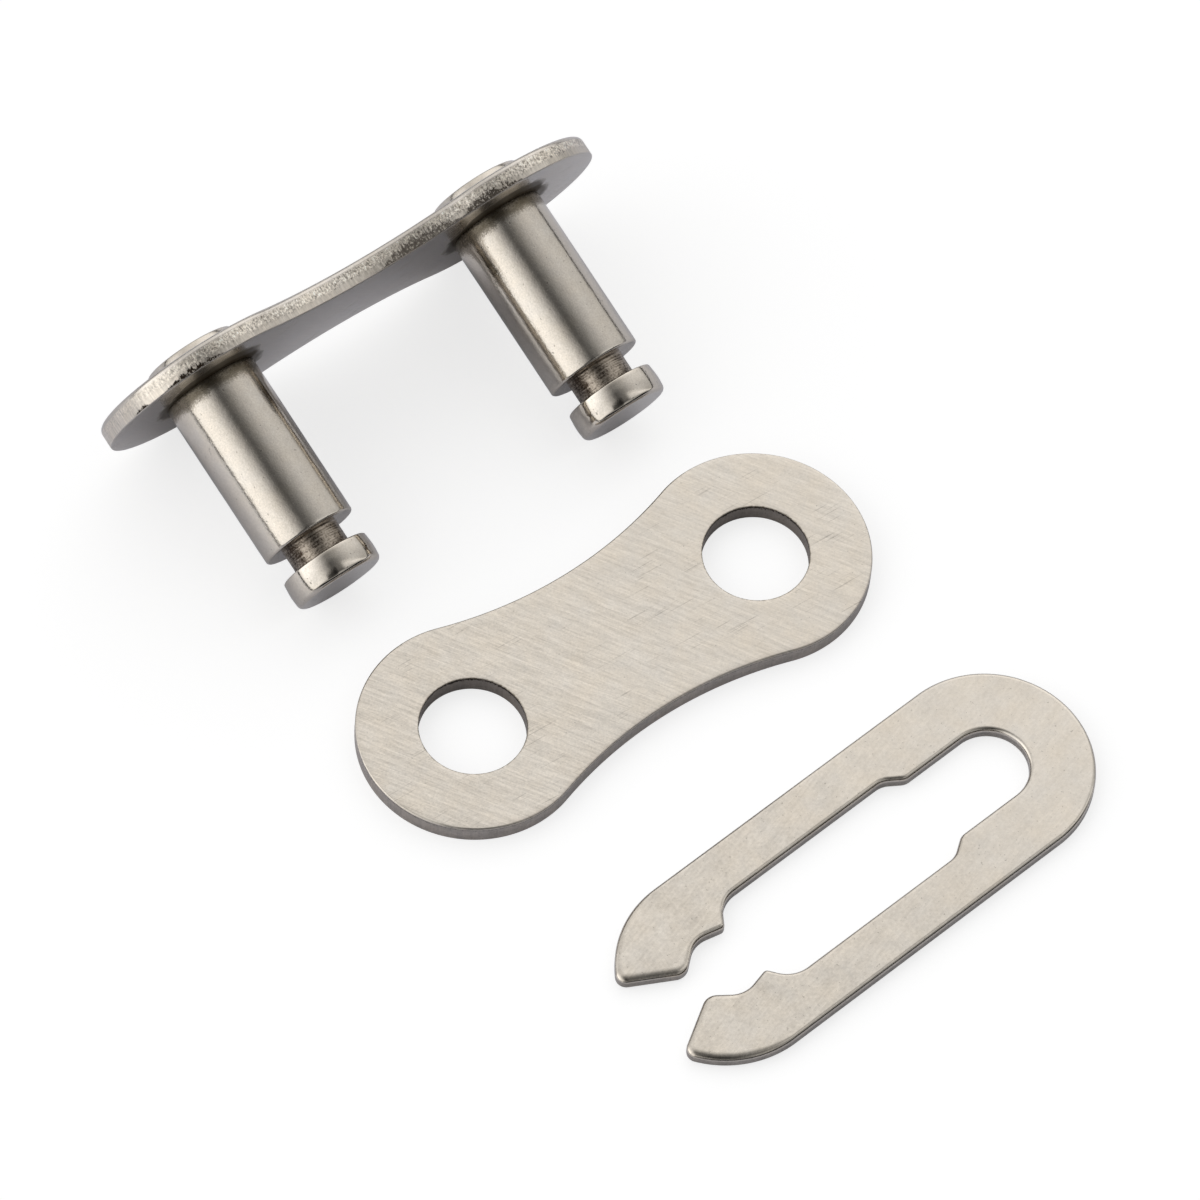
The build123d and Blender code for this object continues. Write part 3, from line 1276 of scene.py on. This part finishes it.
@dataclass
class PinLink:
    """The punched plate with both pins riveted into it, leaning on its lobes and on the pins' free ends."""

    chain: Chain
    tree: ShapeGraph
    lathe: ShapeGraph
    shear: Shear = Shear(0.009, 0.12, 0.014, 0.12, seed=8)
    waist: float = 5.35
    rolled_edge: float = 0.2
    broken_edge: float = 0.04
    guard: float = 0.2  # from each rounded edge to the ring that keeps the face flat
    cut_share: float = 0.62  # how much of the rim the punch cut before the rest tore
    cut_tears: float = 0.35  # how much the cut part is torn, against the rest
    pin_cover: float = 0.9  # how much of a pin's shoulder the face's mesh reaches under
    rivet_overhang: float = 0.45
    rivet_height: float = 0.6
    rivet_taper: float = 0.34
    rivet_rounding: float = 0.1
    shank_rounding: float = 0.1
    corner_rounding: float = 0.02
    groove_rounding: float = 0.05
    head_bevel: float = 0.06
    head_crown: float = 0.05
    crown_radius: float = 2.0
    marks_margin: float = 0.001  # how far past the groove's sides its marks may start
    mark_depth: float = 0.007
    mark_pitch: float = 0.09
    wave_depth: float = 0.006
    wave_length: float = 1.3
    middle_x: float = -0.76
    gap: float = 2.8
    turn: float = -0.4
    steps: int = 256  # round a pin
    arc_step: float = 0.3  # along a pin's section: in the arcs, as a share of their radius
    groove_step: float = 0.025  # at the bottom of its groove
    straight_step: float = 0.14  # elsewhere

    def place(self) -> Matrix:
        """Place the link, leaning on its lobes and on the rims of the pins' free ends.

        Returns:
            Its own frame: the middle of the plate's outer face, with Z along the pins.
        """
        chain = self.chain
        lobe = chain.lobe_height / 2
        corner = chain.pin_plate - self.broken_edge
        along = chain.pin_length - chain.head_rounding - corner
        drop = lobe - (chain.head_radius - chain.head_rounding)
        lean = atan2(drop, along) - asin(chain.head_rounding / hypot(along, drop))
        height = corner * sin(lean) + lobe * cos(lean)
        origin = Vector((self.middle_x, lobe + self.gap + chain.pin_length * cos(lean), height))
        turn = radians(self.turn)
        across = Vector((cos(turn), sin(turn), 0.0))
        along_pins = Vector((cos(lean) * sin(turn), -cos(lean) * cos(turn), -sin(lean)))
        axes = Matrix((across, along_pins.cross(across), along_pins)).transposed().to_4x4()
        return Matrix.Scale(METRES, 4) @ Matrix.Translation(origin) @ axes

    def plate_rows(self) -> list[Row]:
        """Draw the plate's rim from its outer face, which the punch entered by, to its inner one.

        Returns:
            The rows.
        """
        thickness, roll, broken = self.chain.pin_plate, self.rolled_edge, self.broken_edge
        lower = rounded_rim(roll, roll, 0.0, side=-1, count=6)
        upper = rounded_rim(broken, broken, thickness, side=1, count=3)
        levels = between(roll, thickness - broken, count=14)
        cut = thickness * self.cut_share
        wall = [Row(0.0, z, streaks=1.0, tears=self.cut_tears if z < cut else 1.0) for z in levels]
        outer, inner = Row(roll + self.guard, 0.0), Row(broken + self.guard, thickness)
        return [outer, *lower, *wall, *upper, inner]

    def build_plate(self) -> None:
        """Build the plate that carries the pins."""
        chain = self.chain
        shape = PlateShape(chain, self.waist, chain.pin_plate, chain.tenon_radius)
        thickness = chain.pin_plate
        hidden = self.pin_cover * (chain.pin_radius - chain.tenon_radius)
        hole = [Row(hidden, 0.0), Row(0.0, 0.0), Row(0.0, thickness), Row(hidden, thickness)]
        blank = Blank([shape.rim(), *shape.holes()], {Surface.RIM: self.plate_rows(), Surface.HOLE: hole})
        piece = new_piece(blank.mesh("pin_plate_dressed"))
        sides = (-chain.pitch / 2, chain.pitch / 2)
        # Patches round each pin: brown salts, with painted shade and reflection where the pin meets the plate.
        stains_and_shade = [StainAndShade(x, y, radius) for y, radius in ((0.0, 2.4), (1.3, 2.0)) for x in sides]
        face = GroundNickel(
            "pin_plate_faces",
            (0.6, 0.555, 0.5),
            0.22,
            line_angle=-60.0,
            contrast=0.4,
            scratch_angle=22.0,
            stains_and_shade=tuple(stains_and_shade),
        )
        tears = (
            Tear(-10.1, -9.5, 0.16),
            Tear(-9.3, -6.3, 0.29),
            Tear(0.3, 4.4, 0.6, 0.8),
            Tear(3.8, 6.8, 0.46, 0.9),
        )
        rim = TornNickel("pin_plate_rim", roughness=0.33, tears=tears)
        self.shear.apply(self.tree, piece, face, rim)
        show(piece, self.place(), "pin_plate")

    def section(self) -> tuple[np.ndarray, np.ndarray]:
        """A pin's half section from the middle of its rivet head to the middle of its free end.

        Returns:
            The points, and for each one its share of the turning marks.
        """
        chain = self.chain
        rivet = chain.tenon_radius + self.rivet_overhang
        corner, groove = self.corner_rounding, self.groove_rounding
        start, end = chain.groove_start, chain.groove_end
        corners: list[tuple[Point, float]] = [
            ((0.0, -self.rivet_height), 0.0),
            ((rivet - self.rivet_taper, -self.rivet_height), self.rivet_rounding),
            ((rivet, 0.0), corner),
            ((chain.tenon_radius, 0.0), corner),
            ((chain.tenon_radius, chain.pin_plate), corner),
            ((chain.pin_radius, chain.pin_plate), corner),
            ((chain.pin_radius, start), self.shank_rounding),
            ((chain.neck_radius, start), groove),
            ((chain.neck_radius, end), groove),
            ((chain.head_radius - self.head_crown, end), self.head_bevel),
            ((chain.head_radius, (end + chain.pin_length) / 2), self.crown_radius),
            ((chain.head_radius - self.head_crown, chain.pin_length), chain.head_rounding),
            ((0.0, chain.pin_length), 0.0),
        ]
        points: list[np.ndarray] = []
        for run in rounded_runs(corners):
            if isinstance(run, Arc):
                step = run.radius * self.arc_step
            else:
                at_neck = abs(run.start[0] - chain.neck_radius) < NEARLY and run.start[1] > start
                step = self.groove_step if at_neck else self.straight_step
            points.append(run.walk(step)[0])
        points.append(np.array([corners[-1][0]]))
        line = np.concatenate(points)
        low, high = start - self.marks_margin, end + self.marks_margin
        inside = (line[:, 1] > low) & (line[:, 1] < high) & (line[:, 0] < chain.neck_radius + groove)
        return line, inside.astype(np.float32)

    def build_pin(self, node: str, x: float, seed: int) -> None:
        """Turn one pin and rivet it into the plate.

        Args:
            node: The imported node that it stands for.
            x: Where it stands along the plate.
            seed: The seed of its marks.
        """
        chain = self.chain
        line, marks = self.section()
        mesh = bpy.data.meshes.new(f"{node}_dressed")
        places = np.stack([line[:, 0], np.zeros(len(line)), line[:, 1]], 1)
        mesh.from_pydata(places, [(i, i + 1) for i in range(len(line) - 1)], [])
        mesh.attributes.new(MARKS, "FLOAT", "POINT").data.foreach_set("value", marks)
        piece = new_piece(mesh)
        finish = TurnedNickel(
            f"{node}_nickel",
            roughness=0.11,
            groove=(chain.groove_start, chain.groove_end),
            root=chain.pin_plate,
        )
        inputs = {
            "Steps": self.steps,
            "Mark Depth": self.mark_depth,
            "Mark Pitch": self.mark_pitch,
            "Wave Depth": self.wave_depth,
            "Wave Length": self.wave_length,
            "Seed": seed,
            "Finish": finish.material(),
        }
        self.lathe.apply(piece, inputs)
        show(piece, self.place() @ Matrix.Translation((x, 0.0, 0.0)), node)

    def build(self) -> None:
        """Build the plate and both pins."""
        self.build_plate()
        self.build_pin("left_pin", -self.chain.pitch / 2, 11)
        self.build_pin("right_pin", self.chain.pitch / 2, 29)


@dataclass
class SpringClip:
    """The sprung stamping that snaps into both pins' grooves, its mouth towards -X in its own frame."""

    chain: Chain
    tree: ShapeGraph
    shear: Shear = Shear(0.003, 0.1, 0.004, 0.12, seed=5)
    face: TumbledNickel = TumbledNickel("spring_clip_face", roughness=0.2)
    # The rim's plating is darker than the face's, as painted shade.
    edge: ShearedNickel = ShearedNickel("spring_clip_rim", (0.46, 0.42, 0.37), 0.2, flecks=0.4)
    width: float = 7.76
    edge_width: float = 0.165
    edge_drop: float = 0.17
    tears: float = 0.3  # how much its wall is torn
    tip_softness: float = 0.8  # how much wider its edges' rounding is at the tips
    tip_run: float = 1.5  # past the neck's seat, where that width is reached
    guard: float = 0.02  # from each rounded edge to the ring that keeps the face flat
    neck_clearance: float = 0.345
    passage_clearance: float = 0.19
    seat_play: float = 0.2
    tooth_bite: float = 0.04
    step_start: float = 2.67
    step_length: float = 0.73
    tooth_to_passage: float = 0.62
    seat_to_tooth: float = 1.2
    seat_depth: float = 0.29
    seat_to_lip: float = 1.09
    lip_gap: float = 1.07
    lip_to_tip: float = 1.63
    tip_spread: float = 3.87
    step_start_radius: float = 0.55
    step_end_radius: float = 0.85
    passage_radius: float = 1.2
    tooth_radius: float = 0.2
    seat_radius: float = 1.05
    lip_radius: float = 0.55
    tip_radius: float = 0.4
    shoulder_radius: float = 4.0
    closed_end_x: float = 8.1
    gap: float = 3.66
    turn: float = 4.7
    step: float = 0.035

    def half_runs(self) -> list[Run]:
        """Draw one half of the outline.

        Returns:
            Its runs, from the closed end along the outside, round the tip and back.
        """
        chain = self.chain
        outer = self.width / 2
        slot = chain.neck_radius + self.neck_clearance
        passage = chain.head_radius + self.passage_clearance
        tooth = chain.neck_radius - self.tooth_bite
        seat_x = chain.pitch + self.seat_play
        tooth_x = seat_x - self.seat_to_tooth
        lip = Vector((-(seat_x + self.seat_to_lip), self.lip_gap / 2))
        tip = Vector((lip.x - self.lip_to_tip, self.tip_spread / 2))
        rise = tip.y - (outer - self.shoulder_radius)
        run = sqrt((self.shoulder_radius - self.tip_radius) ** 2 - rise**2)
        shoulder_turn = degrees(atan2(run, rise))
        to_lip = lip - tip
        lip_heading = atan2(to_lip.y, to_lip.x) + asin(self.tip_radius / to_lip.length)
        tip_turn = 180.0 - shoulder_turn + degrees(lip_heading)
        side_end = (tip.x + run, outer)
        tip_end = radians(90.0 + shoulder_turn + tip_turn)
        tip_leave = (tip.x + self.tip_radius * cos(tip_end), tip.y + self.tip_radius * sin(tip_end))
        inner = [
            (tip_leave, 0.0),
            ((lip.x, lip.y), self.lip_radius),
            ((-seat_x, tooth + self.seat_depth), self.seat_radius),
            ((-tooth_x, tooth), self.tooth_radius),
            ((-(tooth_x - self.tooth_to_passage), passage), self.passage_radius),
            ((-(self.step_start + self.step_length), passage), self.step_end_radius),
            ((-self.step_start, slot), self.step_start_radius),
            ((0.0, slot), 0.0),
        ]
        return [
            Arc((0.0, 0.0), outer, 0.0, 90.0),
            Line((0.0, outer), side_end),
            Arc((side_end[0], outer - self.shoulder_radius), self.shoulder_radius, 90.0, shoulder_turn),
            Arc(tuple(tip), self.tip_radius, 90.0 + shoulder_turn, tip_turn),
            *rounded_runs(inner),
            Arc((0.0, 0.0), slot, 90.0, -90.0),
        ]

    def rim(self) -> Outline:
        """Draw the whole outline: the half and its mirror image, walked back.

        Returns:
            The outline.
        """
        half = Outline.along(self.half_runs(), self.step)
        end = np.array([[self.chain.neck_radius + self.neck_clearance, 0.0]])
        points = np.concatenate([half.points, end, half.points[:0:-1] * (1.0, -1.0)])
        outward = np.concatenate([half.outward, [[-1.0, 0.0]], half.outward[:0:-1] * (1.0, -1.0)])
        near_tip = np.clip((-points[:, :1] - self.chain.pitch) / self.tip_run, 0.0, 1.0)
        return Outline(points, outward, reach=1.0 + self.tip_softness * near_tip)

    def rows(self) -> list[Row]:
        """Draw the wall: rounded, streaked and rounded again.

        Returns:
            The rows.
        """
        height, width, drop = self.chain.clip, self.edge_width, self.edge_drop
        lower = rounded_rim(width, drop, 0.0, side=-1, count=8)
        upper = rounded_rim(width, drop, height, side=1, count=8)
        levels = between(drop, height - drop, count=5)
        wall = [Row(0.0, z, streaks=1.0, tears=self.tears) for z in levels]
        flat = width + self.guard
        return [Row(flat, 0.0), *lower, *wall, *upper, Row(flat, height)]

    def build(self) -> None:
        """Build the clip and put it on the floor."""
        blank = Blank([self.rim()], {Surface.RIM: self.rows()})
        piece = new_piece(blank.mesh("spring_clip_dressed"))
        self.shear.apply(self.tree, piece, self.face, self.edge)
        y = -(self.chain.lobe_height / 2 + self.gap + self.width / 2)
        place = Matrix.Translation((self.closed_end_x, y, 0.0)) @ Matrix.Rotation(radians(self.turn), 4, "Z")
        show(piece, Matrix.Scale(METRES, 4) @ place, "spring_clip")


# --- Floor, light and camera ---


@dataclass(frozen=True)
class Tent:
    """How bright each part of a white light tent is."""

    left: float = 1.22
    right: float = 0.46
    upper_right: float = 0.18  # more towards the top
    behind: float = 0.74
    front: float = 0.35  # high up
    strip: float = 0.55  # upright, in front on the right
    everywhere: float = 0.105
    gap: float = 0.88  # how much darker the low front is
    opening: float = 0.8  # how much darker the tent's opening is, in front on the left
    below: float = 0.06  # the share that is left below the floor's edge

    def light(self, across: Value, depth: Value, rise: Value) -> Value:
        """The light from one side.

        Args:
            across: How far that side is to the right, from -1 to 1.
            depth: How far it is behind.
            rise: How far it is up.

        Returns:
            How bright it is.
        """
        before, leftward = 0.0 - depth, 0.0 - across
        left = leftward.band(0.17, 0.95) * self.left * depth.band(-0.75, -0.25)
        right = self.right + rise.band(0.2, 0.75) * self.upper_right
        right = across.band(-0.24, 0.8) * right * depth.band(-0.55, -0.15)
        behind = depth.band(-0.12, 0.5) * rise.band(-0.02, 0.35) * self.behind
        front = before.band(0.45, 0.7) * rise.band(0.36, 0.5) * self.front
        strip = across.band(0.1, 0.3) * before.band(0.17, 0.28) * depth.band(-0.62, -0.48) * self.strip
        gap = before.band(0.3, 0.7) * (1.0 - rise.band(0.34, 0.42)) * self.gap
        opening = before.band(0.2, 0.3) * across.band(-0.62, -0.52) * leftward.band(0.05, 0.2)
        opening = opening * rise.band(0.5, 0.6) * self.opening
        light = (left + right + behind + front + strip + self.everywhere) * (1.0 - gap) * (1.0 - opening)
        return light * (self.below + rise.band(0.045, 0.11) * (1.0 - self.below))


@dataclass
class Studio:
    """A pale floor under soft light, and the camera."""

    tent: Tent = Tent()
    floor_size: float = 1600.0
    target: Triple = (0.81, 1.98, 0.0)
    azimuth: float = -41.103
    elevation: float = 59.972
    distance: float = 400.0
    roll: float = 5.745
    lens: float = 330.27
    sensor: float = 36.0

    def add_floor(self) -> None:
        """Lay the floor at the height that the pieces stand on."""
        mesh = bpy.data.meshes.new("floor")
        half = self.floor_size / 2 * METRES
        corners = [(-half, -half, 0.0), (half, -half, 0.0), (half, half, 0.0), (-half, half, 0.0)]
        mesh.from_pydata(corners, [], [(0, 1, 2, 3)])
        mesh.materials.append(PaleFloor().material())
        new_piece(mesh)

    def add_camera(self) -> None:
        """Stand the camera where it sees all the pieces from above."""
        turn, rise, roll = radians(self.azimuth), radians(self.elevation), radians(self.roll)
        back = Vector((sin(turn) * cos(rise), -cos(turn) * cos(rise), sin(rise)))
        right = Vector((cos(turn), sin(turn), 0.0))
        up = back.cross(right)
        axis_x = right * cos(roll) + up * sin(roll)
        axis_y = up * cos(roll) - right * sin(roll)
        data = bpy.data.cameras.new("camera")
        data.sensor_fit = "HORIZONTAL"
        data.sensor_width = self.sensor
        data.lens = self.lens
        data.clip_start = 0.01
        camera = bpy.data.objects.new("camera", data)
        axes = Matrix((axis_x, axis_y, back)).transposed().to_4x4()
        place = Vector(self.target) + back * self.distance
        camera.matrix_world = Matrix.Translation(place * METRES) @ axes
        bpy.context.scene.collection.objects.link(camera)
        bpy.context.scene.camera = camera

    def add_light(self) -> None:
        """Light the set from a white tent."""
        world = bpy.data.worlds.new("studio_tent")
        bpy.context.scene.world = world
        world.use_nodes = True
        graph = Graph(world.node_tree)
        across, depth, rise = graph.axes(graph.read(graph.node("ShaderNodeTexCoord"), "Generated"))
        light = self.tent.light(across, depth, rise)
        shader = graph.node("ShaderNodeBackground", None, {"Color": graph.joined(light, light, light)})
        graph.node("ShaderNodeOutputWorld", None, {"Surface": graph.read(shader)})
        bpy.context.scene.view_settings.view_transform = "Standard"

    def build(self) -> None:
        """Set up the floor, the light and the camera."""
        self.add_floor()
        self.add_light()
        self.add_camera()


def main() -> None:
    """Build every piece, then the studio round them."""
    logging.basicConfig(level=logging.INFO, format="%(name)s: %(message)s")
    chain = Chain()
    shear = sheared_tree()
    PinLink(chain, shear, turned_tree()).build()
    CoverPlate(chain, shear).build()
    SpringClip(chain, shear).build()
    Studio().build()


if __name__ == "__main__":
    main()
